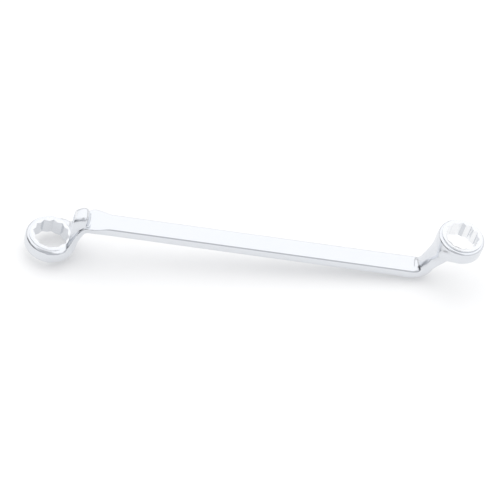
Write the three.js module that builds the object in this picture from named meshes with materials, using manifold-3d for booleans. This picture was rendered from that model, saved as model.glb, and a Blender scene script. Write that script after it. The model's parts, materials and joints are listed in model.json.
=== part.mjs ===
// Double-ended ring spanner, 16 mm and 17 mm across flats, with deep-cranked heads.
// Units are millimetres, +Z is up, +X points to the 16 mm head. The spanner lies as it does on a
// bench: the 17 mm head hangs below the shank and the 16 mm head stands above it.
import * as THREE from "three";
import { mergeVertices } from "three/addons/utils/BufferGeometryUtils.js";
import Module from "manifold-3d";

const wasm = await Module();
wasm.setup();

// Driving dimensions of the shank
const headSpacing = 212.9;
const shankWidth = 10.9;
const shankThickness = 5.4;
const shankEdgeBevel = 0.85;
const shankSideCrown = 0.4;

// Driving dimensions shared by both cranks
const crankAngle = THREE.MathUtils.degToRad(68);
const headTilt = THREE.MathUtils.degToRad(5.5);
const elbowRadius = 7.6;
const headBendRadius = 5.8;
const neckBand = 5.7;
const neckWidth = 10.9;
const hollowWidth = 9.6;
const knuckleWidth = 10.6;
const knuckleTipLength = 2.3;
const knuckleTipSetback = 1.5;
const knuckleSink = 0.4;
const hollowCrown = 0.5;
const shoulderLength = 9.5;
const ledgeDrop = 3.2;

// Driving dimensions of each head. The last value says how far from the head's axis the hollow side
// of the neck starts to widen, as a share of the barrel's radius.
const head17 = {
  acrossFlats: 17,
  wall: 3.5,
  height: 10.2,
  offset: 22.7,
  neckInset: 6.3,
  shoulderFlare: 2.2,
  knuckleHeight: 5.7,
  collarHeight: 0.6,
  shoulderRadius: 1.2,
  hollowReachShare: 1.06,
};
const head16 = {
  acrossFlats: 16,
  wall: 3,
  height: 10.2,
  offset: 29.7,
  neckInset: 3,
  shoulderFlare: 0.3,
  knuckleHeight: 2.5,
  collarHeight: 1.1,
  shoulderRadius: 0.8,
  hollowReachShare: 1.2,
};

// Collars of the heads, and the mouths of their bores on the working face and on the shank's side
const collarStep = 1.4;
const barrelCrown = 0.15;
const leadIn = { width: 1, depth: 0.7 };
const backMouth = { width: 0.4, depth: 0.3 };
const facingMargin = 0.6;
const flankSink = 0.5;
const borePoints = 12;
const partingLift = 0.6;

// Fineness of the surfaces
const cutOverrun = 2;
const elbowSteps = 9;
const straightSteps = 7;
const shoulderSteps = 5;
const headBendSteps = 7;
const faceSteps = 4;
const edgeSteps = 3;
const sideSteps = 2;
const knuckleTipSteps = 5;
const knuckleSteps = 12;
const knuckleSides = 24;
const shoulderArcSteps = 4;
const latheSegments = 60;
const slopeHalvings = 30;

// How far from the head's axis the knuckle's side of the neck starts to widen, as a share of the
// barrel's radius
const outerReachShare = 1.45;
const flankBlendPower = 6;

// The knuckle's blunt crown: the power of its outline, and how much of its height it keeps at the head
const knuckleBlunting = 3.2;
const knuckleHeadHeightShare = 0.68;

const steel = { color: 0xd9dde1, roughness: 0.2, metalness: 1 };

// Basic solid work: a closed geometry becomes a solid, and a solid becomes a mesh.
function solidOf(geometry) {
  const bare = geometry.index ? geometry.toNonIndexed() : geometry.clone();
  bare.deleteAttribute("normal");
  bare.deleteAttribute("uv");
  const merged = mergeVertices(bare);
  return new wasm.Manifold(
    new wasm.Mesh({
      numProp: 3,
      vertProperties: new Float32Array(merged.attributes.position.array),
      triVerts: new Uint32Array(merged.index.array),
    }),
  );
}

function meshOf(solid, name) {
  const { numProp, vertProperties, triVerts } = solid.getMesh();
  const count = vertProperties.length / numProp;
  const positions = new Float32Array(count * 3);
  for (let i = 0; i < count; i += 1) {
    positions.set(vertProperties.subarray(i * numProp, i * numProp + 3), i * 3);
  }
  const geometry = new THREE.BufferGeometry();
  geometry.setAttribute("position", new THREE.BufferAttribute(positions, 3));
  geometry.setIndex(new THREE.BufferAttribute(triVerts, 1));
  geometry.computeVertexNormals();
  const mesh = new THREE.Mesh(geometry, new THREE.MeshStandardMaterial(steel));
  mesh.name = name;
  return mesh;
}

// A skin over rings of points, with both ends closed by a fan. Seen from the far end looking back,
// the points of a ring run clockwise.
function loft(rings) {
  const size = rings[0].length;
  const positions = rings.flat().flatMap((point) => point.toArray());
  const index = [];
  for (let r = 0; r + 1 < rings.length; r += 1) {
    for (let i = 0; i < size; i += 1) {
      const j = (i + 1) % size;
      const a = r * size;
      const b = a + size;
      index.push(a + i, b + i, a + j, a + j, b + i, b + j);
    }
  }
  [0, rings.length - 1].forEach((r) => {
    const middle = new THREE.Vector3();
    rings[r].forEach((point) => middle.addScaledVector(point, 1 / size));
    const hub = positions.length / 3;
    positions.push(...middle.toArray());
    for (let i = 0; i < size; i += 1) {
      const j = (i + 1) % size;
      const a = r * size;
      index.push(...(r === 0 ? [hub, a + i, a + j] : [hub, a + j, a + i]));
    }
  });
  const geometry = new THREE.BufferGeometry();
  geometry.setAttribute("position", new THREE.Float32BufferAttribute(positions, 3));
  geometry.setIndex(index);
  return geometry;
}

function cornerRadius(head) {
  return head.acrossFlats / 2 / Math.cos(Math.PI / 6);
}

function barrelRadius(head) {
  return cornerRadius(head) + head.wall;
}

function smooth(share) {
  const t = THREE.MathUtils.clamp(share, 0, 1);
  return t * t * (3 - 2 * t);
}

// The centre line of one crank, from the shank to the middle of its head, in its own plane: u runs
// outwards along the shank and v rises towards the head's working face. It is walked back from the
// head, whose place is given, so the length of the slanting neck is what is left over.
function crankLine(head) {
  const centreU = headSpacing / 2;
  const endV = head.offset - ledgeDrop - neckBand / 2;
  const bendEndU = centreU - head.neckInset * Math.cos(headTilt);
  const bendEndV = endV + head.neckInset * Math.sin(headTilt);
  const bendU = headBendRadius * (Math.sin(crankAngle) + Math.sin(headTilt));
  const bendV = headBendRadius * (Math.cos(headTilt) - Math.cos(crankAngle));
  const elbowU = elbowRadius * Math.sin(crankAngle);
  const elbowV = elbowRadius * (1 - Math.cos(crankAngle));
  const neckLength = (bendEndV - bendV - elbowV) / Math.sin(crankAngle);
  const elbowEndU = bendEndU - bendU - neckLength * Math.cos(crankAngle);
  const elbowStartU = elbowEndU - elbowU;
  const bendStartU = bendEndU - bendU;
  const line = [{ u: 0, v: 0, angle: 0 }];
  for (let i = 0; i < shoulderSteps; i += 1) {
    const u = elbowStartU - shoulderLength * (1 - i / shoulderSteps);
    line.push({ u, v: 0, angle: 0 });
  }
  for (let i = 0; i <= elbowSteps; i += 1) {
    const angle = (crankAngle * i) / elbowSteps;
    const u = elbowStartU + elbowRadius * Math.sin(angle);
    line.push({ u, v: elbowRadius * (1 - Math.cos(angle)), angle });
  }
  for (let i = 1; i < straightSteps; i += 1) {
    const along = (neckLength * i) / straightSteps;
    const u = elbowEndU + along * Math.cos(crankAngle);
    line.push({ u, v: elbowV + along * Math.sin(crankAngle), angle: crankAngle });
  }
  for (let i = 0; i <= headBendSteps; i += 1) {
    const angle = crankAngle - ((crankAngle + headTilt) * i) / headBendSteps;
    const u = bendEndU - headBendRadius * (Math.sin(angle) + Math.sin(headTilt));
    const v = bendEndV - headBendRadius * (Math.cos(headTilt) - Math.cos(angle));
    line.push({ u, v, angle });
  }
  line.push({ u: centreU, v: endV, angle: -headTilt });
  line.forEach((station, i) => {
    const last = line[Math.max(i - 1, 0)];
    station.along = i === 0 ? 0 : last.along + Math.hypot(station.u - last.u, station.v - last.v);
    station.fromHead = centreU - station.u;
  });
  const elbowStart = elbowStartU;
  const elbowEnd = elbowStart + elbowRadius * crankAngle;
  return { line, elbowStartU, elbowEndU, bendStartU, elbowStart, elbowEnd, neckEnd: elbowEnd + neckLength };
}

// Half the width of the neck's flank at a distance from the head's axis: the width of the neck's
// face, blended into an ellipse that lies tangent on the barrel.
function flankHalfWidth(head, fromHead, faceWidth, reachShare) {
  const radius = barrelRadius(head);
  const share = Math.min(fromHead / (radius * reachShare), 1);
  const ellipse = radius * Math.sqrt(1 - share * share);
  const neck = faceWidth / 2;
  return Math.hypot(neck ** (flankBlendPower / 2), ellipse ** (flankBlendPower / 2)) ** (2 / flankBlendPower);
}

// The section of the bar at each station of the line: how far its two faces stand from the line,
// and how wide each is. The inner face is the one in the hollow of the elbow.
function barSections(head) {
  const { line, elbowStartU, elbowEndU, bendStartU } = crankLine(head);
  const headReach = head.height - ledgeDrop - neckBand / 2 - flankSink;
  const shankHalf = shankWidth / 2;
  return line.map((station) => {
    const { u, fromHead } = station;
    const intoElbow = smooth((u - elbowStartU) / (elbowEndU - elbowStartU));
    const ontoShoulder = smooth((u - elbowStartU + shoulderLength) / shoulderLength);
    const intoHead = smooth((u - elbowEndU) / (bendStartU - elbowEndU + headBendRadius));
    const shoulder = head.shoulderFlare * ontoShoulder * (1 - intoElbow);
    const inner = THREE.MathUtils.lerp(shankThickness, neckBand, intoElbow) / 2;
    const outer = THREE.MathUtils.lerp(inner, headReach, intoHead);
    const innerFlank = flankHalfWidth(head, fromHead, hollowWidth, head.hollowReachShare);
    const outerFlank = flankHalfWidth(head, fromHead, neckWidth, outerReachShare);
    const innerHalf = THREE.MathUtils.lerp(shankHalf, innerFlank, intoElbow);
    const outerHalf = THREE.MathUtils.lerp(shankHalf, outerFlank, intoElbow) + shoulder;
    return { ...station, inner, outer, innerHalf, outerHalf };
  });
}

// A closed outline with flat faces above and below, bevelled edges and slightly crowned sides.
function barOutline({ top, bottom, topHalf, bottomHalf }) {
  const quarter = [];
  for (let i = 0; i <= edgeSteps; i += 1) {
    quarter.push((Math.PI / 2) * (i / edgeSteps));
  }
  const faceShares = Array.from({ length: faceSteps - 1 }, (_, i) => 1 - (2 * (i + 1)) / faceSteps);
  const bevel = shankEdgeBevel;
  const corner = (half, level, sign) =>
    quarter.map((angle) => [
      half - bevel + bevel * Math.sin(angle),
      level + sign * bevel * (Math.cos(angle) - 1),
    ]);
  const sides = Array.from({ length: sideSteps - 1 }, (_, i) => {
    const share = (i + 1) / sideSteps;
    const half = THREE.MathUtils.lerp(topHalf, bottomHalf, share);
    const crown = shankSideCrown * Math.sin(Math.PI * share);
    return [half + crown, THREE.MathUtils.lerp(top - bevel, -bottom + bevel, share)];
  });
  const topCorner = corner(topHalf, top, 1);
  const bottomCorner = corner(bottomHalf, -bottom, -1).reverse();
  const right = [...topCorner, ...sides, ...bottomCorner];
  const left = right.map(([y, z]) => [-y, z]).reverse();
  const bottomFace = faceShares.map((share) => [share * (bottomHalf - bevel), -bottom]);
  const topFace = faceShares.map((share) => [-share * (topHalf - bevel), top]);
  return [...right, ...bottomFace, ...left, ...topFace];
}

// A ring of points in space from an outline that stands square to the line at x, z.
function placeOutline(outline, x, z, angle) {
  return outline.map(
    ([y, n]) => new THREE.Vector3(x - n * Math.sin(angle), y, z + n * Math.cos(angle)),
  );
}

// The bent bar from one head to the other, skinned in one piece. The end at 17 mm is the other
// end turned half round about Y, so its inner face is the lower one.
function buildBar() {
  const lower = barSections(head17).map((s) =>
    placeOutline(
      barOutline({ top: s.outer, bottom: s.inner, topHalf: s.outerHalf, bottomHalf: s.innerHalf }),
      -s.u,
      -s.v,
      s.angle,
    ),
  );
  const upper = barSections(head16).map((s) =>
    placeOutline(
      barOutline({ top: s.inner, bottom: s.outer, topHalf: s.innerHalf, bottomHalf: s.outerHalf }),
      s.u,
      s.v,
      s.angle,
    ),
  );
  return solidOf(loft([...lower.reverse(), ...upper.slice(1)]));
}

// The place on a line at a distance along it.
function placeAt(line, along) {
  const next = Math.max(line.findIndex((s) => s.along >= along), 1);
  const from = line[next - 1];
  const to = line[next];
  const share = (along - from.along) / (to.along - from.along);
  return {
    u: THREE.MathUtils.lerp(from.u, to.u, share),
    v: THREE.MathUtils.lerp(from.v, to.v, share),
    angle: THREE.MathUtils.lerp(from.angle, to.angle, share),
  };
}

// The knuckle: a blunt crowned body that starts as a round tongue on the flat of the shank, goes
// round the outside of the elbow and down the back of the neck, and sinks into the bar before the
// head. It is narrower than the flanks of the neck, and stands barely proud of the hollow side.
function buildKnuckle(head, side) {
  const { line, elbowStart, elbowEnd, neckEnd } = crankLine(head);
  const tip = elbowStart + knuckleTipSetback;
  const stations = [];
  for (let i = 1; i <= knuckleTipSteps; i += 1) {
    const angle = ((Math.PI / 2) * i) / knuckleTipSteps;
    const swell = Math.sin(angle) ** (2 / knuckleBlunting);
    stations.push({ along: tip + knuckleTipLength * (1 - Math.cos(angle)), swell });
  }
  const tipEnd = tip + knuckleTipLength;
  for (let i = 1; i <= knuckleSteps; i += 1) {
    stations.push({ along: THREE.MathUtils.lerp(tipEnd, neckEnd, i / knuckleSteps), swell: 1 });
  }
  const rings = stations.map(({ along, swell }) => {
    const { u, v, angle } = placeAt(line, along);
    const intoHead = smooth((along - elbowEnd) / (neckEnd - elbowEnd));
    const rise = THREE.MathUtils.lerp(1, knuckleHeadHeightShare, intoHead);
    const outer = swell * (neckBand / 2 + head.knuckleHeight * rise);
    const inner = swell * (neckBand / 2 + hollowCrown - (hollowCrown + knuckleSink) * intoHead);
    const half = (swell * knuckleWidth) / 2;
    const outline = [];
    for (let i = 0; i < knuckleSides; i += 1) {
      const turn = (-2 * Math.PI * i) / knuckleSides;
      const reach = side * Math.sin(turn) > 0 ? inner : outer;
      const across = Math.sign(Math.cos(turn)) * Math.abs(Math.cos(turn)) ** (2 / knuckleBlunting);
      const up = Math.sign(Math.sin(turn)) * Math.abs(Math.sin(turn)) ** (2 / knuckleBlunting);
      outline.push([half * across, reach * up]);
    }
    return placeOutline(outline, side * u, side * v, angle);
  });
  return solidOf(loft(side > 0 ? rings : rings.reverse()));
}

// A solid of revolution about +Z from a profile of [radius, height] points, highest first.
function turned(profile) {
  const points = profile.map(([radius, height]) => new THREE.Vector2(radius, height)).reverse();
  return new THREE.LatheGeometry(points, latheSegments).rotateX(Math.PI / 2);
}

// The frame of a head: its origin is the middle of the working face and +Z points out of it.
function headFrame(head, side) {
  const turn = side > 0 ? headTilt : headTilt + Math.PI;
  const frame = new THREE.Matrix4().makeRotationY(turn);
  return frame.setPosition((side * headSpacing) / 2, 0, side * head.offset);
}

// The outside of a head: a collar round each rim, rounded shoulders and a slightly crowned barrel.
function headProfile(head) {
  const radius = barrelRadius(head);
  const collar = radius - collarStep;
  const round = head.shoulderRadius;
  const upper = [
    [collar, 0],
    [collar, -head.collarHeight],
  ];
  for (let i = 0; i <= shoulderArcSteps; i += 1) {
    const angle = ((Math.PI / 2) * i) / shoulderArcSteps;
    const r = radius - round * (1 - Math.sin(angle));
    upper.push([r, -head.collarHeight - round * (1 - Math.cos(angle))]);
  }
  const lower = upper.map(([r, z]) => [r, -head.height - z]).reverse();
  const belly = [radius + barrelCrown, -head.height / 2];
  return [[0, 0], ...upper, belly, ...lower, [0, -head.height]];
}

// The mouth of a bore: a cone that opens outwards, cut into the corners of the twelve points. It
// starts from the given outline above the face.
function withMouth(head, { width, depth }, above) {
  const mouth = cornerRadius(head) + width;
  const slope = depth / width;
  const root = head.acrossFlats / 2;
  const rootDepth = (mouth - root) * slope;
  return [...above(mouth, slope), [root, -rootDepth], [0, -rootDepth]];
}

// The cone on the working face runs on outwards into the air.
function workingMouthProfile(head) {
  return withMouth(head, leadIn, (mouth, slope) => [
    [0, cutOverrun],
    [mouth + cutOverrun / slope, cutOverrun],
  ]);
}

// The cone on the side of the shank starts from a round facing, which leaves the neck standing
// clear of the bore.
function shankMouthProfile(head) {
  return withMouth(head, backMouth, (mouth) => [
    [0, head.offset],
    [mouth + facingMargin, head.offset],
    [mouth + facingMargin, 0],
    [mouth, 0],
  ]);
}

// The twelve-point bore: two hexagons, one turned by 30 degrees against the other.
function boreShape(head) {
  const inner = head.acrossFlats / 2 / Math.cos(Math.PI / borePoints);
  const shape = new THREE.Shape();
  for (let i = 0; i < borePoints * 2; i += 1) {
    const radius = i % 2 === 0 ? cornerRadius(head) : inner;
    const angle = (Math.PI * i) / borePoints;
    const x = radius * Math.cos(angle);
    const y = radius * Math.sin(angle);
    if (i === 0) shape.moveTo(x, y);
    else shape.lineTo(x, y);
  }
  shape.closePath();
  return shape;
}

// What is cut from a head: the bore through it and its two mouths.
function headCuts(head) {
  const depth = head.height + 2 * cutOverrun;
  const bore = new THREE.ExtrudeGeometry(boreShape(head), { depth, bevelEnabled: false });
  bore.translate(0, 0, -head.height - cutOverrun);
  const workingMouth = turned(workingMouthProfile(head));
  const shankMouth = turned(shankMouthProfile(head));
  shankMouth.rotateX(Math.PI).translate(0, 0, -head.height);
  return [bore, workingMouth, shankMouth];
}

// The forging in one piece, before it is shared out.
const ends = [
  { head: head17, side: -1, name: "17" },
  { head: head16, side: 1, name: "16" },
];
let forging = buildBar();
ends.forEach(({ head, side }) => {
  const frame = headFrame(head, side);
  const barrel = solidOf(turned(headProfile(head)).applyMatrix4(frame));
  forging = forging.add(buildKnuckle(head, side)).add(barrel);
});
ends.forEach(({ head, side }) => {
  const frame = headFrame(head, side);
  headCuts(head).forEach((cut) => {
    forging = forging.subtract(solidOf(cut.applyMatrix4(frame)));
  });
});

// The forging is shared out into its five zones, which meet face to face: each head ends just
// above its rim on the side of the shank, and each neck ends where its shoulder leaves the flat.
const spanner = new THREE.Group();
let shank = forging;
ends.forEach(({ head, side, name }) => {
  const size = 2 * headSpacing;
  const beyondRim = new THREE.BoxGeometry(size, size, size);
  beyondRim.translate(0, 0, size / 2 - head.height - partingLift);
  const headBlock = solidOf(beyondRim.applyMatrix4(headFrame(head, side)));
  const { elbowStartU } = crankLine(head);
  const beyondShoulder = new THREE.BoxGeometry(size, size, size);
  beyondShoulder.translate(side * (elbowStartU - shoulderLength + size / 2), 0, 0);
  const endBlock = solidOf(beyondShoulder);
  const end = shank.intersect(endBlock);
  shank = shank.subtract(endBlock);
  spanner.add(meshOf(end.intersect(headBlock), `ring_head_${name}`));
  spanner.add(meshOf(end.subtract(headBlock), `neck_${name}`));
});
spanner.add(meshOf(shank, "shank"));

// At rest the lower head and the elbow below the upper head both touch the bench: the slope of the
// shank is found by halving, and the origin is put on the bench under the middle of the spanner.
function lowest(slope, side) {
  let least = Infinity;
  spanner.children.forEach((mesh) => {
    const place = mesh.geometry.attributes.position;
    for (let i = 0; i < place.count; i += 1) {
      if (place.getX(i) * side > 0) {
        const height = place.getZ(i) * Math.cos(slope) - place.getX(i) * Math.sin(slope);
        least = Math.min(least, height);
      }
    }
  });
  return least;
}

let flattest = 0;
let steepest = crankAngle / 2;
for (let i = 0; i < slopeHalvings; i += 1) {
  const slope = (flattest + steepest) / 2;
  if (lowest(slope, 1) > lowest(slope, -1)) flattest = slope;
  else steepest = slope;
}
spanner.rotation.y = (flattest + steepest) / 2;
spanner.updateMatrixWorld(true);
const bounds = new THREE.Box3().setFromObject(spanner, true);
const middle = bounds.getCenter(new THREE.Vector3());
spanner.position.set(-middle.x, -middle.y, -bounds.min.z);

export default spanner;
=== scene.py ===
"""A deep-cranked double-ended ring spanner, forged in one piece and chrome plated.

The forging is described by a field: a function of a point in space that is negative inside the steel and
zero on its skin. A skin is drawn over the field, and the turned and broached features are then cut from it.
The shape is worked out in the spanner's own frame, with the shank along X, and laid on the bench at the end.
"""

import json
import math

import bpy
import numpy as np
from mathutils import Matrix, Vector


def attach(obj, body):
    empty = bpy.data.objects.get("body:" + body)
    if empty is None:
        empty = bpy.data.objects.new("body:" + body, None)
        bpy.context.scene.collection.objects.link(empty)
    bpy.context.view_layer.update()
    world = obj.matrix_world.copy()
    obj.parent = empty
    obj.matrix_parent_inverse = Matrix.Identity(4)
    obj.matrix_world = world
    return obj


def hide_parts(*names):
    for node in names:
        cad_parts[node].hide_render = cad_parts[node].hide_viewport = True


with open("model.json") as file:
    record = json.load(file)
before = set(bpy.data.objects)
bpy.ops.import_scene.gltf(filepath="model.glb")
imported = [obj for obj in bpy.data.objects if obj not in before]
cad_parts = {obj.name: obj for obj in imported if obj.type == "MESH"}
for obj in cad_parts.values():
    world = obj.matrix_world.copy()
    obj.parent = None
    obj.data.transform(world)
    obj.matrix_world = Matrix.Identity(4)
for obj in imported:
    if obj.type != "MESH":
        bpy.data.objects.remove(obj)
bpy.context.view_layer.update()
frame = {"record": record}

bl_info = {
    "name": "Ring Spanner",
    "version": (1, 0, 0),
    "blender": (4, 5, 0),
    "location": "3D View > Sidebar > Ring Spanner",
    "description": "Builds a deep-cranked chrome ring spanner and the stage that it lies on",
    "category": "Object",
}

MM = 0.001
ALL_NODES = ("ring_head_17", "neck_17", "shank", "neck_16", "ring_head_16")

# The skin that is drawn over the forging's field: its cells, the room round the forging, how often its
# places are pulled onto the surface, half the step over which a slope is measured, and the angle between
# two faces from which the edge is drawn sharp
SKIN_STEP = 0.4 * MM
SKIN_MARGIN = 1.2 * MM
SKIN_PULLS = 4
GRADIENT_STEP = 0.02 * MM
SHARP_ANGLE = math.radians(32)

# What keeps a division from failing: in the knuckle's outline, in the field's slope and in a pull
LEAST_OUTLINE = 1e-6
LEAST_SLOPE_SQUARED = 0.05
LEAST_PULL = 1e-12

# How finely each bend of the middle line is measured
BEND_STEPS = 24

# How sharply the neck's flank turns from its own width into the curve that meets the barrel
FLANK_BLEND_POWER = 6

# What is left at the head's axis of the fillet between neck and barrel
LEAST_FILLET = 0.1 * MM

# The turned and broached features, and how far their cutters run past the steel
BORE_POINTS = 12
TURNED_SEGMENTS = 192
EDGE_ARC_STEPS = 4
CUT_OVERRUN = 3 * MM

# Each finish: its grain in lines to the metre along X, Y and Z, how strongly the grain stands out, and
# its roughness as a share of the forged skin's
FINISHES = {
    "forged": {"grain": (150, 900, 900), "relief": 0.35, "roughness_share": 1},
    "turned": {"grain": (900, 900, 900), "relief": 0.1, "roughness_share": 0.8},
    "broached": {"grain": (1500, 1500, 150), "relief": 0.2, "roughness_share": 0.9},
}

# What all the chrome shares: fine streaks along the grain and broad clouds over them
GRAIN_DEPTH = 0.05 * MM
STREAK_SHARE = 0.6
STREAK_DETAIL = 4
STREAK_ROUGHNESS = 0.08
CLOUDS_TO_THE_METRE = 60
CLOUD_DETAIL = 3
CLOUD_ROUGHNESS = 0.06
CLOUD_TINT_SHARE = 0.3
TINT_SHARE = 0.93
MIDDLE_OF_NOISE = 0.5

# The soft studio. A direction is a heading and a rise in degrees: a heading of 0 is behind the spanner,
# 90 its right end, 180 the camera's side and 270 its left end. A light fades in over a band of cosines
# of the angle to its direction.
WHITE = (1, 1, 1, 1)
BACK_LIGHT = (0, 50)
BACK_LIGHT_BAND = (-0.4, 0.75)
KEY_LAMP = (0, 64)
KEY_LAMP_BAND = (0.8, 0.97)
HORIZON_BAND = (0.08, 0.32)

# The dark screens that draw the dark lines in the chrome: heading, rise, reach round that direction in
# degrees, and darkness, which is full in the core
DARK_SCREENS = ((180, 46, 34, 0.42), (205, 12, 22, 0.3), (240, 10, 22, 0.85), (268, 8, 25, 0.95))
SCREEN_CORE_SHARE = 0.45
SCREEN_COLOUR = (0.03, 0.033, 0.04, 1)

# The camera: the width of its sensor in millimetres and how far it sees in metres
SENSOR_WIDTH = 36
CLIP_END = 20


def length(name, description, millimetres):
    """A size, given in millimetres, kept in metres and shown in the scene's own unit."""
    return bpy.props.FloatProperty(
        name=name,
        description=description,
        default=millimetres * MM,
        precision=5,
        unit="LENGTH",
        subtype="DISTANCE",
    )


def angle(name, description, degrees):
    return bpy.props.FloatProperty(
        name=name, description=description, default=math.radians(degrees), unit="ROTATION", subtype="ANGLE"
    )


def share(name, description, value, top=1.0):
    """A share of a size that the description names, or of the whole."""
    return bpy.props.FloatProperty(name=name, description=description, default=value, min=0, max=top)


def power(name, description, value):
    """The power of a superellipse: 2 is an ellipse, and more is blunter."""
    return bpy.props.FloatProperty(name=name, description=description, default=value, min=2, max=10)


def strength(name, description, value):
    return bpy.props.FloatProperty(name=name, description=description, default=value, min=0, max=10)


def colour(name, description, value):
    return bpy.props.FloatVectorProperty(
        name=name, description=description, default=value, size=3, min=0, max=1, subtype="COLOR"
    )


class ShankSettings(bpy.types.PropertyGroup):
    """The straight flat bar between the two cranks."""

    head_spacing: length("Head spacing", "Distance between the axes of the two bores", 212.9)
    width: length("Width", "Width of the flat bar", 10.9)
    thickness: length("Thickness", "Thickness of the flat bar", 5.4)
    edge_radius: length("Edge radius", "Rounding of the long edges", 0.85)
    side_crown: length("Side crown", "How far the sides bulge", 0.4)


class CrankSettings(bpy.types.PropertyGroup):
    """What both cranks share: elbow, slanting neck, knuckle and the bend into the head."""

    crank: angle("Crank", "Slope of the neck against the shank", 68)
    tilt: angle("Head tilt", "Slope of the head against the shank", 5.5)
    elbow_radius: length("Elbow radius", "Radius of the elbow's middle line", 7.6)
    head_bend_radius: length("Head bend radius", "Radius of the bend into the head", 5.8)
    neck_band: length("Neck thickness", "Thickness of the neck without its knuckle", 5.7)
    neck_width: length("Neck width", "Width of the neck at its waist, on the knuckle's side", 10.9)
    hollow_width: length("Hollow width", "Width of the neck at its waist, on the hollow side", 9.6)
    shoulder_length: length("Shoulder length", "Stretch over which the shank widens into the elbow", 9.5)
    knuckle_width: length("Knuckle width", "Width of the knuckle", 10.6)
    knuckle_tip: length("Knuckle tip", "Length of the rounded tip of the knuckle", 2.3)
    knuckle_setback: length("Knuckle setback", "Start of the knuckle beyond the elbow's start", 1.5)
    knuckle_sink: length("Knuckle sink", "How deep the knuckle ends below the hollow side", 0.4)
    hollow_crown: length("Hollow crown", "How far the hollow of the elbow is filled", 0.5)
    hollow_fall: length("Hollow fall", "How far the hollow face falls away at its edges", 1.1)
    outer_recess: length("Outer recess", "How far the knuckle's side of the bar draws in at the elbow", 1.2)
    hollow_power: power("Hollow bluntness", "Power of the knuckle's section on the hollow side", 2.4)
    plan_power: power("Tip bluntness", "Power of the knuckle's outline seen from above", 3)
    ledge_drop: length("Ledge drop", "Step from the working face down to the neck", 3.2)
    crease_fillet: length("Crease fillet", "Fillet where the knuckle meets the bar", 0.5)
    head_fillet: length("Head fillet", "Fillet where the neck meets the head", 4)
    rim_dip: length("Rim dip", "How far the neck's back lies below the rim at the head's axis", 1.6)


class HeadSettings:
    """What each ring head has."""

    collar_step: length("Collar step", "How far the collar stays in from the barrel", 1.4)
    collar_edge: length("Collar edge", "Rounding of the collar's edge", 0.2)
    barrel_crown: length("Barrel crown", "How far the barrel bulges", 0.15)
    mouth_width: length("Mouth width", "Width of the cone on the working face beyond the corners", 1)
    mouth_depth: length("Mouth depth", "Depth of the cone on the working face at the corners", 0.35)
    back_width: length("Back width", "Width of the cone on the shank's side beyond the corners", 0.4)
    back_depth: length("Back depth", "Depth of the cone on the shank's side at the corners", 0.15)
    facing_margin: length("Facing margin", "Extra radius of the facing beside the neck", 0.6)


class Head17Settings(HeadSettings, bpy.types.PropertyGroup):
    """The lower head."""

    across_flats: length("Across flats", "Size of the hexagon that the bore fits", 17)
    wall: length("Wall", "Wall outside the corners of the bore", 3.5)
    height: length("Height", "Height of the head between its two rims", 10.2)
    offset: length("Offset", "Distance of the working face from the shank's middle plane", 22.7)
    neck_inset: length("Neck inset", "Distance of the bend's end from the head's axis", 6.3)
    shoulder_flare: length("Shoulder flare", "How far the shank widens at the elbow", 2.2)
    knuckle_height: length("Knuckle height", "How far the knuckle stands off the elbow", 5.7)
    knuckle_taper: share("Knuckle taper", "Height of the knuckle at the head, as a share", 0.85)
    knuckle_power: power("Knuckle bluntness", "Power of the knuckle's section", 3.8)
    collar_height: length("Collar height", "How far the collar stands off the barrel", 0.45)
    shoulder_radius: length("Shoulder radius", "Rounding between the ledge and the barrel", 2.4)
    hollow_reach: share("Hollow reach", "Where the hollow side widens, in barrel radii", 1.06, 2)
    outer_reach: share("Outer reach", "Where the knuckle's side widens, in barrel radii", 1.55, 2)


class Head16Settings(HeadSettings, bpy.types.PropertyGroup):
    """The upper head."""

    across_flats: length("Across flats", "Size of the hexagon that the bore fits", 16)
    wall: length("Wall", "Wall outside the corners of the bore", 3)
    height: length("Height", "Height of the head between its two rims", 10.2)
    offset: length("Offset", "Distance of the working face from the shank's middle plane", 29.7)
    neck_inset: length("Neck inset", "Distance of the bend's end from the head's axis", 3)
    shoulder_flare: length("Shoulder flare", "How far the shank widens at the elbow", 0.3)
    knuckle_height: length("Knuckle height", "How far the knuckle stands off the elbow", 2.4)
    knuckle_taper: share("Knuckle taper", "Height of the knuckle at the head, as a share", 0.68)
    knuckle_power: power("Knuckle bluntness", "Power of the knuckle's section", 2.4)
    collar_height: length("Collar height", "How far the collar stands off the barrel", 1.1)
    shoulder_radius: length("Shoulder radius", "Rounding between the ledge and the barrel", 1.3)
    hollow_reach: share("Hollow reach", "Where the hollow side widens, in barrel radii", 0.98, 2)
    outer_reach: share("Outer reach", "Where the knuckle's side widens, in barrel radii", 1.45, 2)


class FinishSettings(bpy.types.PropertyGroup):
    """The chrome plating."""

    forged: colour("Forged chrome", "Colour of the plating on the forged skin", (0.765, 0.785, 0.82))
    turned: colour("Turned chrome", "Colour of the plating on the faced rims", (0.8, 0.815, 0.84))
    broached: colour("Broached chrome", "Colour of the plating in the bores", (0.94, 0.95, 0.965))
    roughness: share("Roughness", "Roughness of the forged skin's satin chrome", 0.2)


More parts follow.
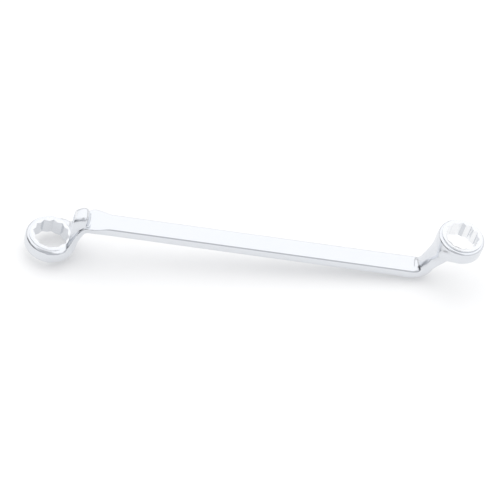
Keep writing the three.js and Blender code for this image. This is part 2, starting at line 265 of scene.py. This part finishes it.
class StageSettings(bpy.types.PropertyGroup):
    """Floor, light and camera."""

    floor_colour: colour("Floor", "Colour of the floor", (0.97, 0.972, 0.976))
    floor_glow: share("Floor glow", "How much of the floor's white is its own", 0.25)
    floor_mirrored: share("Floor mirrored", "How much of its own white the floor shows to the chrome", 0.6)
    back_light: colour("Back light", "Light from behind and overhead", (1, 1, 1))
    front_light: colour("Front light", "Light from the front", (0.7, 0.71, 0.74))
    floor_size: length("Floor size", "Side of the square floor", 6000)
    sky: strength("Sky", "Strength of the studio as the chrome mirrors it", 1.24)
    floor_light: strength("Floor light", "Strength of the studio as it lights the floor", 1.16)
    key_light: strength("Key light", "Strength of the soft lamp that throws the shadow forward", 0.9)
    horizon: share("Horizon", "How bright the studio is just above the floor", 0.5)
    lens: bpy.props.FloatProperty(
        name="Lens", description="Focal length of the camera", default=165.6, unit="CAMERA"
    )
    distance: length("Distance", "Distance from the camera to its aim", 1218.1)
    azimuth: angle("Azimuth", "Camera's heading, from straight along +Y", -3.6224)
    elevation: angle("Elevation", "How far the camera looks down", 48.3617)
    roll: angle("Roll", "Turn of the camera about its own axis", 1.0938)
    aim: bpy.props.FloatVectorProperty(
        name="Aim",
        description="The point that the camera looks at",
        default=(-1.26 * MM, 4.635 * MM, 4.183 * MM),
        size=3,
        unit="LENGTH",
        subtype="TRANSLATION",
    )


class SpannerSettings(bpy.types.PropertyGroup):
    """All the settings of the ring spanner."""

    shank: bpy.props.PointerProperty(type=ShankSettings, name="Shank", description="Sizes of the shank")
    crank: bpy.props.PointerProperty(type=CrankSettings, name="Cranks", description="Sizes of both cranks")
    head17: bpy.props.PointerProperty(type=Head17Settings, name="17 mm head", description="The lower head")
    head16: bpy.props.PointerProperty(type=Head16Settings, name="16 mm head", description="The upper head")
    finish: bpy.props.PointerProperty(type=FinishSettings, name="Finish", description="The plating")
    stage: bpy.props.PointerProperty(type=StageSettings, name="Stage", description="Floor, light and camera")


# Fields: each is a function of arrays of places, negative inside the steel


def smooth(value):
    """0 up to 0, 1 from 1 on and an even S between."""
    held = np.clip(value, 0, 1)
    return held * held * (3 - 2 * held)


def mixed(first, second, weight):
    return first + (second - first) * weight


def blend(first, second, fillet):
    """Two bodies in one, with a fillet of about that width where they meet."""
    near = np.maximum(fillet - np.abs(first - second), 0)
    return np.minimum(first, second) - near * near / (4 * fillet)


def rounded_meeting(first, second, radius):
    """What two half spaces have in common, with the edge between them rounded."""
    inside = np.minimum(np.maximum(first, second) + radius, 0)
    return inside + np.hypot(np.maximum(first + radius, 0), np.maximum(second + radius, 0)) - radius


def corner_radius(head):
    """From the bore's axis to the corners of its hexagons."""
    return head.across_flats / 2 / math.cos(math.pi / 6)


def barrel_radius(head):
    return corner_radius(head) + head.wall


class Crank:
    """One end of the spanner in its own plane: u runs outwards along the shank and v rises towards the
    head's working face. The middle line is a straight, the elbow, the neck, the bend and the head's stub.
    Most of the shape is given by how far along that line a place is, and how far over it."""

    def __init__(self, shank, crank, head):
        self.shank, self.crank, self.head = shank, crank, head
        slope, tilt = crank.crank, crank.tilt
        self.centre_u = shank.head_spacing / 2
        self.stub = head.neck_inset
        end_v = head.offset - crank.ledge_drop - crank.neck_band / 2
        bend_end = np.array([self.centre_u - self.stub * math.cos(tilt), end_v + self.stub * math.sin(tilt)])
        radius = crank.head_bend_radius
        self.bend_centre = bend_end - radius * np.array([math.sin(tilt), math.cos(tilt)])
        neck_end = self.bend_centre + radius * np.array([-math.sin(slope), math.cos(slope)])
        rise = crank.elbow_radius * (1 - math.cos(slope))
        self.neck = (neck_end[1] - rise) / math.sin(slope)
        elbow_end = neck_end - self.neck * np.array([math.cos(slope), math.sin(slope)])
        self.elbow_start = elbow_end[0] - crank.elbow_radius * math.sin(slope)
        self.elbow_centre = np.array([self.elbow_start, crank.elbow_radius])
        self.elbow_end, self.bend_end = elbow_end, bend_end
        self.along_elbow_end = self.elbow_start + crank.elbow_radius * slope
        self.along_neck_end = self.along_elbow_end + self.neck
        self.along_bend_end = self.along_neck_end + radius * (slope + tilt)
        self.bend_start_u = neck_end[0]
        self.measure_line()

    def measure_line(self):
        """Places of the middle line itself, which the widths of the bar follow."""
        crank = self.crank
        turns = np.linspace(0, crank.crank, BEND_STEPS + 1)
        along = [np.array([0.0]), self.elbow_start + crank.elbow_radius * turns]
        u = [np.array([0.0]), self.elbow_start + crank.elbow_radius * np.sin(turns)]
        turns = np.linspace(crank.crank, -crank.tilt, BEND_STEPS + 1)
        along.append(self.along_neck_end + crank.head_bend_radius * (crank.crank - turns))
        u.append(self.bend_centre[0] - crank.head_bend_radius * np.sin(turns))
        along.append(np.array([self.along_bend_end + self.stub]))
        u.append(np.array([self.centre_u]))
        self.line_along = np.concatenate(along)
        self.line_u = np.concatenate(u)

    @staticmethod
    def straight(u, v, start, heading, along, reach):
        """A place against a straight stretch: how far along the line it is and how far over it, its
        distance from the stretch and how far it lies past the stretch's end."""
        du, dv = u - start[0], v - start[1]
        run = du * math.cos(heading) + dv * math.sin(heading)
        over = dv * math.cos(heading) - du * math.sin(heading)
        held = np.clip(run, 0, reach)
        return along + held, over, np.hypot(run - held, over), run - reach

    def locate(self, u, v):
        """How far along the middle line and how far over it a place is, by the line's nearest stretch, and
        how far it lies past the line's end."""
        slope, tilt = self.crank.crank, self.crank.tilt
        along, over, gap, _ = self.straight(u, v, (0, 0), 0, 0, self.elbow_start)
        best = along, over, gap
        du, dv = u - self.elbow_centre[0], v - self.elbow_centre[1]
        radius = self.crank.elbow_radius
        turn = np.clip(np.arctan2(du, -dv), 0, slope)
        gap = np.hypot(du - radius * np.sin(turn), dv + radius * np.cos(turn))
        best = self.nearer(best, (self.elbow_start + radius * turn, radius - np.hypot(du, dv), gap))
        along, over, gap, _ = self.straight(u, v, self.elbow_end, slope, self.along_elbow_end, self.neck)
        best = self.nearer(best, (along, over, gap))
        du, dv = u - self.bend_centre[0], v - self.bend_centre[1]
        radius = self.crank.head_bend_radius
        turn = np.clip(np.arctan2(-du, dv), -tilt, slope)
        gap = np.hypot(du + radius * np.sin(turn), dv - radius * np.cos(turn))
        along = self.along_neck_end + radius * (slope - turn)
        best = self.nearer(best, (along, np.hypot(du, dv) - radius, gap))
        along, over, gap, past = self.straight(u, v, self.bend_end, -tilt, self.along_bend_end, self.stub)
        along, over, _ = self.nearer(best, (along, over, gap))
        return along, over, past

    @staticmethod
    def nearer(first, second):
        """Of two readings of (along, over, gap), the one with the smaller gap, place by place."""
        take = second[2] < first[2]
        return tuple(np.where(take, other, own) for own, other in zip(first, second))

    def flank_half(self, from_head, face_width, reach_share):
        """Half the width of the neck's flank: the width of its face, blended into an ellipse that lies
        tangent on the barrel."""
        radius = barrel_radius(self.head)
        ellipse = radius * np.sqrt(1 - np.clip(from_head / (radius * reach_share), 0, 1) ** 2)
        blunt = FLANK_BLEND_POWER
        return ((face_width / 2) ** blunt + ellipse**blunt) ** (1 / blunt)

    def bar(self, along, over, y, past):
        """The bent bar: flat faces, rounded edges and crowned sides."""
        shank, crank, head = self.shank, self.crank, self.head
        u = np.interp(along, self.line_along, self.line_u)
        into_elbow = smooth((u - self.elbow_start) / (self.elbow_end[0] - self.elbow_start))
        onto_shoulder = smooth((u - self.elbow_start) / crank.shoulder_length + 1)
        bend_reach = self.bend_start_u - self.elbow_end[0] + crank.head_bend_radius
        into_head = smooth((u - self.elbow_end[0]) / bend_reach)
        head_reach = head.height - crank.ledge_drop - crank.neck_band / 2
        inner = mixed(shank.thickness, crank.neck_band, into_elbow) / 2
        from_head = self.centre_u - u
        dip = crank.rim_dip * (1 - smooth(from_head / barrel_radius(head)))
        outer = mixed(inner, head_reach - dip, into_head)
        hollow_flank = self.flank_half(from_head, crank.hollow_width, head.hollow_reach)
        outer_flank = self.flank_half(from_head, crank.neck_width, head.outer_reach)
        inner_half = mixed(shank.width / 2, hollow_flank, into_elbow)
        outer_half = mixed(shank.width / 2, outer_flank, into_elbow)
        outer_half = outer_half + head.shoulder_flare * onto_shoulder * (1 - into_elbow)
        depth = np.clip((inner - over) / (inner + outer), 0, 1)
        half = mixed(inner_half, outer_half, depth) + shank.side_crown * np.sin(np.pi * depth)
        side = np.abs(y) - half
        edge = shank.edge_radius
        on_neck = into_elbow * (1 - into_head)
        fall = crank.hollow_fall * on_neck * np.minimum(np.abs(y) / half, 1) ** 2
        recess = crank.outer_recess * on_neck
        hollow_side = rounded_meeting(side, over - inner + fall, edge)
        knuckle_side = rounded_meeting(side, recess - outer - over, edge)
        return np.maximum(np.maximum(hollow_side, knuckle_side), past)

    def knuckle(self, along, over, y):
        """The blunt crowned body round the outside of the elbow and down the back of the neck: a
        superellipse, with its size over its own slope taken for the distance."""
        crank = self.crank
        into_head = smooth((along - self.along_elbow_end) / self.neck)
        rise = self.head.knuckle_height * mixed(1, self.head.knuckle_taper, into_head)
        outer = crank.neck_band / 2 + rise
        inner = crank.neck_band / 2 + mixed(crank.hollow_crown, -crank.knuckle_sink, into_head)
        half = crank.knuckle_width / 2
        hollow_side = over > 0
        reach = np.where(hollow_side, inner, outer)
        tip = self.elbow_start + crank.knuckle_setback + crank.knuckle_tip
        across, up = np.abs(y) / half, np.abs(over) / reach
        front = np.maximum(tip - along, 0) / crank.knuckle_tip
        back = np.maximum(along - self.along_neck_end, 0) / crank.head_bend_radius
        plan_blunt = crank.plan_power
        blunt = np.where(hollow_side, crank.hollow_power, self.head.knuckle_power)
        plan = (across**plan_blunt + front**plan_blunt + back**plan_blunt) ** (1 / plan_blunt) + LEAST_OUTLINE
        size = (plan**blunt + up**blunt) ** (1 / blunt)
        slope = (up / size) ** (blunt - 1) / reach
        for part, scale in ((across, half), (front, crank.knuckle_tip), (back, crank.head_bend_radius)):
            steepness = (plan / size) ** (blunt - 1) * (part / plan) ** (plan_blunt - 1) / scale
            slope = np.hypot(slope, steepness)
        return (size - 1) / np.maximum(slope, 1 / (2 * outer))

    def in_head(self, u, v):
        """A place in the head's own frame: across its axis, and up from the working face."""
        tilt = self.crank.tilt
        du, dv = u - self.centre_u, v - self.head.offset
        return du * math.cos(tilt) - dv * math.sin(tilt), du * math.sin(tilt) + dv * math.cos(tilt)

    def barrel(self, u, v, y):
        """The round barrel of the head, without its collars."""
        head = self.head
        across, up = self.in_head(u, v)
        middle = -head.height / 2
        reach = head.height / 2 - head.collar_height
        bulge = head.barrel_crown * (1 - np.clip((up - middle) / reach, -1, 1) ** 2)
        side = np.hypot(across, y) - barrel_radius(head) - bulge
        return rounded_meeting(side, np.abs(up - middle) - reach, head.shoulder_radius)

    def forging(self, u, v, y):
        """Bar, knuckle and barrel as one body. Their fillet runs out towards the head's axis."""
        along, over, past = self.locate(u, v)
        neck = blend(self.bar(along, over, y, past), self.knuckle(along, over, y), self.crank.crease_fillet)
        from_head = smooth((self.centre_u - u) / barrel_radius(self.head))
        return blend(neck, self.barrel(u, v, y), self.crank.head_fillet * from_head + LEAST_FILLET)


class Forging:
    """Both ends as one field. The 17 mm end is the same crank turned half round about Y."""

    def __init__(self, settings):
        self.lower = Crank(settings.shank, settings.crank, settings.head17)
        self.upper = Crank(settings.shank, settings.crank, settings.head16)

    def __call__(self, x, y, z):
        x, y, z = np.broadcast_arrays(x, y, z)
        value = np.empty(x.shape)
        left = x < 0
        value[left] = self.lower.forging(-x[left], -z[left], y[left])
        value[~left] = self.upper.forging(x[~left], z[~left], y[~left])
        return value


def skin_over(field, low, high, step):
    """A closed skin of quads where the field is zero: one place in each cell that the surface crosses."""
    counts = np.ceil((high - low) / step).astype(int) + 1
    x, y, z = (low[axis] + step * np.arange(counts[axis]) for axis in range(3))
    grid_y, grid_z = np.meshgrid(y, z, indexing="ij")
    values = np.stack([field(np.full(grid_y.shape, place), grid_y, grid_z) for place in x])
    inside = values < 0
    if not inside.any():
        raise RuntimeError("the field of the forging is empty")
    strides = np.array([counts[1] * counts[2], counts[2], 1])
    sums = np.zeros((counts.prod(), 3))
    hits = np.zeros(counts.prod())
    quads = []
    for axis in range(3):
        first = [slice(None)] * 3
        second = [slice(None)] * 3
        first[axis], second[axis] = slice(0, -1), slice(1, None)
        first, second = tuple(first), tuple(second)
        crossed = np.argwhere(inside[first] != inside[second])
        near, far = values[first][tuple(crossed.T)], values[second][tuple(crossed.T)]
        crossings = crossed.astype(float)
        crossings[:, axis] += near / (near - far)
        other, third = (axis + 1) % 3, (axis + 2) % 3
        cells = []
        for back_other, back_third in ((0, 0), (1, 0), (1, 1), (0, 1)):
            cell = crossed.copy()
            cell[:, other] -= back_other
            cell[:, third] -= back_third
            number = cell @ strides
            np.add.at(sums, number, crossings)
            np.add.at(hits, number, 1)
            cells.append(number)
        faces = np.stack(cells, axis=1)
        entering = near >= 0
        faces[entering] = faces[entering][:, ::-1]
        quads.append(faces)
    faces = np.concatenate(quads)
    used, numbered = np.unique(faces, return_inverse=True)
    places = low + step * sums[used] / hits[used][:, None]
    return places, numbered.reshape(faces.shape)


def drawn_onto(field, places, step):
    """The places pulled along the field's slope onto the surface, by half a cell at a time at most."""
    small = GRADIENT_STEP
    for _ in range(SKIN_PULLS):
        x, y, z = places.T
        value = field(x, y, z)
        slope = np.stack(
            [
                field(x + small, y, z) - field(x - small, y, z),
                field(x, y + small, z) - field(x, y - small, z),
                field(x, y, z + small) - field(x, y, z - small),
            ],
            axis=1,
        ) / (2 * small)
        pull = slope * (value / np.maximum((slope**2).sum(1), LEAST_SLOPE_SQUARED))[:, None]
        size = np.linalg.norm(pull, axis=1)
        pull *= np.minimum(1, step / 2 / np.maximum(size, LEAST_PULL))[:, None]
        places = places - pull
    return places


def body_of(name, places, faces, material, placed=Matrix.Identity(4)):
    """A body of one material with those corners and faces, set in its place."""
    mesh = bpy.data.meshes.new(name)
    mesh.from_pydata(places, [], faces)
    mesh.transform(placed)
    mesh.update()
    mesh.materials.append(material)
    body = bpy.data.objects.new(name, mesh)
    bpy.context.scene.collection.objects.link(body)
    return body


def turned_body(name, profile, material, placed):
    """A closed body of revolution about Z from an outline of (radius, height) points that starts and
    ends on the axis, lowest first."""
    turns = np.linspace(0, 2 * math.pi, TURNED_SEGMENTS, endpoint=False)
    rings = profile[1:-1]
    places = [(0, 0, profile[0][1])]
    for radius, height in rings:
        places += [(radius * math.cos(turn), radius * math.sin(turn), height) for turn in turns]
    places.append((0, 0, profile[-1][1]))
    top = 1 + (len(rings) - 1) * TURNED_SEGMENTS
    faces = []
    for here in range(TURNED_SEGMENTS):
        there = (here + 1) % TURNED_SEGMENTS
        faces.append((0, 1 + there, 1 + here))
        for low in range(1, top, TURNED_SEGMENTS):
            high = low + TURNED_SEGMENTS
            faces.append((low + here, low + there, high + there, high + here))
        faces.append((top + here, top + there, len(places) - 1))
    return body_of(name, places, faces, material, placed)


def edge_arc(centre, radius, start, end):
    """Points of a rounded edge in an outline, between angles in degrees from straight outwards."""
    turns = np.radians(np.linspace(start, end, EDGE_ARC_STEPS + 1))
    return [(centre[0] + radius * math.cos(turn), centre[1] + radius * math.sin(turn)) for turn in turns]


def collar_profile(head):
    """Both collars and the core between them, from the face on the shank's side upwards."""
    radius = barrel_radius(head) - head.collar_step
    edge, height = head.collar_edge, head.height
    lower = edge_arc((radius - edge, -height + edge), edge, -90, 0)
    upper = edge_arc((radius - edge, -edge), edge, 0, 90)
    return [(0, -height), *lower, *upper, (0, 0)]


def mouth_profile(head, width, depth):
    """The cone at the mouth of a bore. It opens upwards from the flats, past the corners, to its rim in
    the head's face. A little beyond the rim the cutter runs straight up, so it stays clear of the neck."""
    mouth = corner_radius(head) + width
    slope = depth / width
    root = head.across_flats / 2
    edge = head.facing_margin
    return [
        (0, -(mouth - root) * slope),
        (root, -(mouth - root) * slope),
        (mouth + edge, edge * slope),
        (mouth + edge, CUT_OVERRUN),
        (0, CUT_OVERRUN),
    ]


def facing_profile(head):
    """The cutter that faces the neck beside the bore, from the head's rim on the shank's side downwards."""
    radius = corner_radius(head) + head.back_width + head.facing_margin
    deep = -head.height - head.offset
    return [(0, deep), (radius, deep), (radius, -head.height), (0, -head.height)]


def bore_body(head, material, placed):
    """The twelve-point bore: two hexagons, one turned by 30 degrees against the other."""
    inner = head.across_flats / 2 / math.cos(math.pi / BORE_POINTS)
    count = BORE_POINTS * 2
    outline = []
    for corner in range(count):
        radius = corner_radius(head) if corner % 2 == 0 else inner
        turn = math.pi * corner / BORE_POINTS
        outline.append((radius * math.cos(turn), radius * math.sin(turn)))
    places = [(x, y, height) for height in (-head.height - CUT_OVERRUN, CUT_OVERRUN) for x, y in outline]
    faces = [tuple(reversed(range(count))), tuple(range(count, 2 * count))]
    for here in range(count):
        there = (here + 1) % count
        faces.append((here, there, count + there, count + here))
    return body_of("bore", places, faces, material, placed)


def head_place(crank, side):
    """Where the middle of a head's working face stands, with Z out of it."""
    turn = crank.crank.tilt if side > 0 else crank.crank.tilt + math.pi
    place = Matrix.Translation((side * crank.centre_u, 0, side * crank.head.offset))
    return place @ Matrix.Rotation(turn, 4, "Y")


def worked(body, tool, operation):
    """Joins a tool body to the work, or cuts it from the work, and clears the tool away."""
    step = body.modifiers.new(operation, "BOOLEAN")
    step.operation = operation
    step.solver = "MANIFOLD"
    step.object = tool
    graph = bpy.context.evaluated_depsgraph_get()
    result = bpy.data.meshes.new_from_object(body.evaluated_get(graph), depsgraph=graph)
    body.modifiers.clear()
    old = body.data
    body.data = result
    bpy.data.meshes.remove(old)
    mesh = tool.data
    bpy.data.objects.remove(tool)
    bpy.data.meshes.remove(mesh)


def machine(spanner, crank, side, turned, broached):
    """The collars, the facing beside the neck, the bore and its two mouths."""
    head = crank.head
    front = head_place(crank, side)
    back = front @ Matrix.Translation((0, 0, -head.height)) @ Matrix.Rotation(math.pi, 4, "X")
    front_mouth = mouth_profile(head, head.mouth_width, head.mouth_depth)
    back_mouth = mouth_profile(head, head.back_width, head.back_depth)
    worked(spanner, turned_body("collars", collar_profile(head), turned, front), "UNION")
    worked(spanner, turned_body("facing", facing_profile(head), turned, front), "DIFFERENCE")
    worked(spanner, bore_body(head, broached, front), "DIFFERENCE")
    worked(spanner, turned_body("mouth", front_mouth, turned, front), "DIFFERENCE")
    worked(spanner, turned_body("mouth", back_mouth, turned, back), "DIFFERENCE")


def box_round(field):
    """A box round the forging in its own frame, with as much room on either side of the middle plane."""
    low = np.array([0.0, 0.0, 0.0])
    high = np.array([0.0, 0.0, 0.0])
    for crank, side in ((field.lower, -1), (field.upper, 1)):
        radius = barrel_radius(crank.head) + crank.head.barrel_crown + SKIN_MARGIN
        corner = (side * (crank.centre_u + radius), radius, side * (crank.head.offset + SKIN_MARGIN))
        for axis, value in enumerate(corner):
            low[axis] = min(low[axis], value, -value if axis == 1 else value)
            high[axis] = max(high[axis], value)
    sweep = barrel_radius(field.lower.head) * math.sin(field.lower.crank.tilt)
    depth = field.lower.crank.neck_band / 2 + field.lower.head.knuckle_height
    low[2] = min(low[2] - sweep, -depth - SKIN_MARGIN)
    high[2] = max(high[2] + sweep, depth + SKIN_MARGIN)
    return low, high


# Shader graphs


class Wire:
    """An output socket in a node tree. Arithmetic on wires adds Math nodes."""

    def __init__(self, tree, socket):
        self.tree, self.socket = tree, socket

    def maths(self, operation, *values):
        return self.tree.add("ShaderNodeMath", *values, settings={"operation": operation})

    def __add__(self, other):
        return self.maths("ADD", self, other)

    def __radd__(self, other):
        return self.maths("ADD", other, self)

    def __sub__(self, other):
        return self.maths("SUBTRACT", self, other)

    def __rsub__(self, other):
        return self.maths("SUBTRACT", other, self)

    def __mul__(self, other):
        return self.maths("MULTIPLY", self, other)

    def __rmul__(self, other):
        return self.maths("MULTIPLY", other, self)

    def clamped(self):
        return self.maths("MINIMUM", self.maths("MAXIMUM", self, 0.0), 1.0)

    def over(self, low, high):
        """0 below low, 1 above high and smooth between."""
        settings = {"interpolation_type": "SMOOTHSTEP"}
        return self.tree.add("ShaderNodeMapRange", self, low, high, 0.0, 1.0, settings=settings)


class Tree:
    """A node tree under construction."""

    def __init__(self, tree):
        self.nodes, self.links = tree.nodes, tree.links
        self.nodes.clear()

    def feed(self, socket, value):
        if isinstance(value, Wire):
            self.links.new(value.socket, socket)
        else:
            socket.default_value = value

    def add(self, kind, *values, output=0, settings=None, **named):
        """A node of that kind and a wire from one of its outputs, by number or by name, if it has any. The
        values, or wires, go to its inputs: first those without a name in order, then those with a name."""
        node = self.nodes.new(kind)
        for name, value in (settings or {}).items():
            setattr(node, name, value)
        for socket, value in zip(node.inputs, values):
            self.feed(socket, value)
        for name, value in named.items():
            self.feed(node.inputs[name.replace("_", " ")], value)
        return Wire(self, node.outputs[output]) if node.outputs else None

    def colour_mix(self, factor, first, second):
        """A Mix node has sockets for every type. The colours are its inputs 6 and 7 and its output 2."""
        node = self.nodes.new("ShaderNodeMix")
        node.data_type = "RGBA"
        for number, value in ((0, factor), (6, first), (7, second)):
            self.feed(node.inputs[number], value)
        return Wire(self, node.outputs[2])


def chrome_material(kind, finish):
    """Chrome plating over one kind of surface, with the grain that this kind has."""
    material = bpy.data.materials.new(kind + "_chrome")
    material.use_nodes = True
    tree = Tree(material.node_tree)
    look = FINISHES[kind]
    plating = getattr(finish, kind)
    place = tree.add("ShaderNodeTexCoord", output="Object")
    grain = tree.add("ShaderNodeMapping", place, (0, 0, 0), (0, 0, 0), look["grain"])
    streaks = tree.add("ShaderNodeTexNoise", grain, Scale=1.0, Detail=STREAK_DETAIL)
    clouds = tree.add("ShaderNodeTexNoise", place, Scale=CLOUDS_TO_THE_METRE, Detail=CLOUD_DETAIL)
    height = streaks * STREAK_SHARE + clouds * (1 - STREAK_SHARE)
    uneven = (streaks - MIDDLE_OF_NOISE) * STREAK_ROUGHNESS
    clouded = (clouds - MIDDLE_OF_NOISE) * CLOUD_ROUGHNESS
    tint = (*[part * TINT_SHARE for part in plating], 1)
    shader = tree.add(
        "ShaderNodeBsdfPrincipled",
        Base_Color=tree.colour_mix(clouds * CLOUD_TINT_SHARE, (*plating, 1), tint),
        Metallic=1.0,
        Roughness=finish.roughness * look["roughness_share"] + uneven + clouded,
        Normal=tree.add("ShaderNodeBump", Strength=look["relief"], Distance=GRAIN_DEPTH, Height=height),
    )
    tree.add("ShaderNodeOutputMaterial", shader)
    return material


def bench_place(thickness):
    """From the spanner's own frame to where it lies on the bench, by the flat on top of its shank, which
    lies half the shank's thickness over the frame's origin."""
    flat = next(mount for mount in frame["record"]["mounts"] if mount["name"] == "shank_upper_flat")
    axis, point = Vector(flat["axis"]), Vector(flat["pos_m"])
    turn = Matrix.Rotation(math.atan2(axis.x, axis.z), 4, "Y")
    return Matrix.Translation(point) @ turn @ Matrix.Translation((0, 0, -thickness / 2))


class SPANNER_OT_forging(bpy.types.Operator):
    """Build the one-piece chrome spanner"""

    bl_idname = "spanner.forging"
    bl_label = "Spanner forging"

    def execute(self, context):
        settings = context.scene.ring_spanner
        forged, turned, broached = (chrome_material(kind, settings.finish) for kind in FINISHES)
        field = Forging(settings)
        places, faces = skin_over(field, *box_round(field), SKIN_STEP)
        places = drawn_onto(field, places, SKIN_STEP)
        spanner = body_of("spanner_forging", places.tolist(), faces.tolist(), forged)
        machine(spanner, field.lower, -1, turned, broached)
        machine(spanner, field.upper, 1, turned, broached)
        spanner.data.transform(bench_place(settings.shank.thickness))
        spanner.data.shade_smooth()
        spanner.data.set_sharp_from_angle(angle=SHARP_ANGLE)
        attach(spanner, "root")
        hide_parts(*ALL_NODES)
        print("spanner_forging", len(spanner.data.polygons), "faces")
        return {"FINISHED"}


def floor_material(stage):
    """A pale floor with a white of its own, more of which it shows to the metal than to the camera. So it
    keeps the spanner's shadow and still stands white in the chrome."""
    material = bpy.data.materials.new("floor")
    material.use_nodes = True
    tree = Tree(material.node_tree)
    seen = tree.add("ShaderNodeLightPath", output="Is Camera Ray")
    glossy = tree.add("ShaderNodeLightPath", output="Is Glossy Ray")
    through = tree.add("ShaderNodeLightPath", output="Is Transmission Ray")
    diffuse = tree.add("ShaderNodeBsdfDiffuse", (*stage.floor_colour, 1))
    white = tree.add("ShaderNodeEmission", WHITE, 1.0)
    own = seen * stage.floor_glow + (glossy + through).clamped() * stage.floor_mirrored
    shader = tree.add("ShaderNodeMixShader", own.clamped(), diffuse, white)
    tree.add("ShaderNodeOutputMaterial", shader)
    return material


def studio(stage):
    """A soft white room. The chrome mirrors it: brightest behind the spanner and overhead, dimmer in front
    and near the floor, with dark screens. The floor gets a light of its own, in which a soft lamp overhead
    throws the shadow forward, and the camera sees plain white."""
    world = bpy.data.worlds.new("studio")
    world.use_nodes = True
    tree = Tree(world.node_tree)
    direction = tree.add("ShaderNodeTexCoord", output="Generated")

    def towards(heading, rise):
        """How nearly a direction points that way, as the cosine of the angle between."""
        heading, rise = math.radians(heading), math.radians(rise)
        flat = math.cos(rise)
        aim = (flat * math.sin(heading), flat * math.cos(heading), math.sin(rise))
        settings = {"operation": "DOT_PRODUCT"}
        return tree.add("ShaderNodeVectorMath", direction, aim, output="Value", settings=settings)

    back = towards(*BACK_LIGHT).over(*BACK_LIGHT_BAND)
    light = tree.colour_mix(back, (*stage.front_light, 1), (*stage.back_light, 1))
    screens = []
    for heading, rise, reach, darkness in DARK_SCREENS:
        edge = math.cos(math.radians(reach))
        core = math.cos(math.radians(reach * SCREEN_CORE_SHARE))
        screens.append(towards(heading, rise).over(edge, core) * darkness)
    dark = screens[0]
    for screen in screens[1:]:
        dark = dark.maths("MAXIMUM", dark, screen)
    seen = tree.add("ShaderNodeLightPath", output="Is Camera Ray")
    glossy = tree.add("ShaderNodeLightPath", output="Is Glossy Ray")
    shade = tree.colour_mix(seen, tree.colour_mix(dark, light, SCREEN_COLOUR), WHITE)
    height = tree.add("ShaderNodeSeparateXYZ", direction, output="Z")
    above = height.over(*HORIZON_BAND) * (1 - stage.horizon) + stage.horizon
    lamp = towards(*KEY_LAMP).over(*KEY_LAMP_BAND) * stage.key_light + stage.floor_light
    brightness = above * (glossy * stage.sky + (1 - glossy) * lamp)
    background = tree.add("ShaderNodeBackground", shade, brightness * (1 - seen) + seen)
    tree.add("ShaderNodeOutputWorld", background)
    return world


def lay_floor(stage):
    half = stage.floor_size / 2
    corners = [(-half, -half, 0), (half, -half, 0), (half, half, 0), (-half, half, 0)]
    body_of("floor", corners, [(0, 1, 2, 3)], floor_material(stage))


def place_camera(scene, stage):
    data = bpy.data.cameras.new("camera")
    data.lens = stage.lens
    data.sensor_width = SENSOR_WIDTH
    data.clip_end = CLIP_END
    camera = bpy.data.objects.new("camera", data)
    scene.collection.objects.link(camera)
    turn = Matrix.Rotation(-stage.azimuth, 4, "Z")
    turn = turn @ Matrix.Rotation(math.pi / 2 - stage.elevation, 4, "X")
    turn = turn @ Matrix.Rotation(stage.roll, 4, "Z")
    back = turn @ Vector((0, 0, stage.distance))
    camera.matrix_world = Matrix.Translation(Vector(stage.aim) + back) @ turn
    scene.camera = camera


class SPANNER_OT_stage(bpy.types.Operator):
    """Build the floor, the light and the camera"""

    bl_idname = "spanner.stage"
    bl_label = "Stage"

    def execute(self, context):
        stage = context.scene.ring_spanner.stage
        lay_floor(stage)
        context.scene.world = studio(stage)
        context.scene.view_settings.view_transform = "Standard"
        place_camera(context.scene, stage)
        return {"FINISHED"}


class SPANNER_PT_panel(bpy.types.Panel):
    """Lists the operators that build the ring spanner and its stage"""

    bl_idname = "SPANNER_PT_panel"
    bl_label = "Ring Spanner"
    bl_space_type = "VIEW_3D"
    bl_region_type = "UI"
    bl_category = "Ring Spanner"

    def draw(self, context):
        for operator in (SPANNER_OT_forging, SPANNER_OT_stage):
            self.layout.operator(operator.bl_idname)


CLASSES = (
    ShankSettings,
    CrankSettings,
    Head17Settings,
    Head16Settings,
    FinishSettings,
    StageSettings,
    SpannerSettings,
    SPANNER_OT_forging,
    SPANNER_OT_stage,
    SPANNER_PT_panel,
)


def register():
    for cls in CLASSES:
        bpy.utils.register_class(cls)
    bpy.types.Scene.ring_spanner = bpy.props.PointerProperty(
        type=SpannerSettings, name="Ring spanner", description="Settings of the ring spanner"
    )


def unregister():
    del bpy.types.Scene.ring_spanner
    for cls in reversed(CLASSES):
        bpy.utils.unregister_class(cls)


def main():
    register()
    bpy.ops.spanner.forging()
    bpy.ops.spanner.stage()


if __name__ == "__main__":
    main()
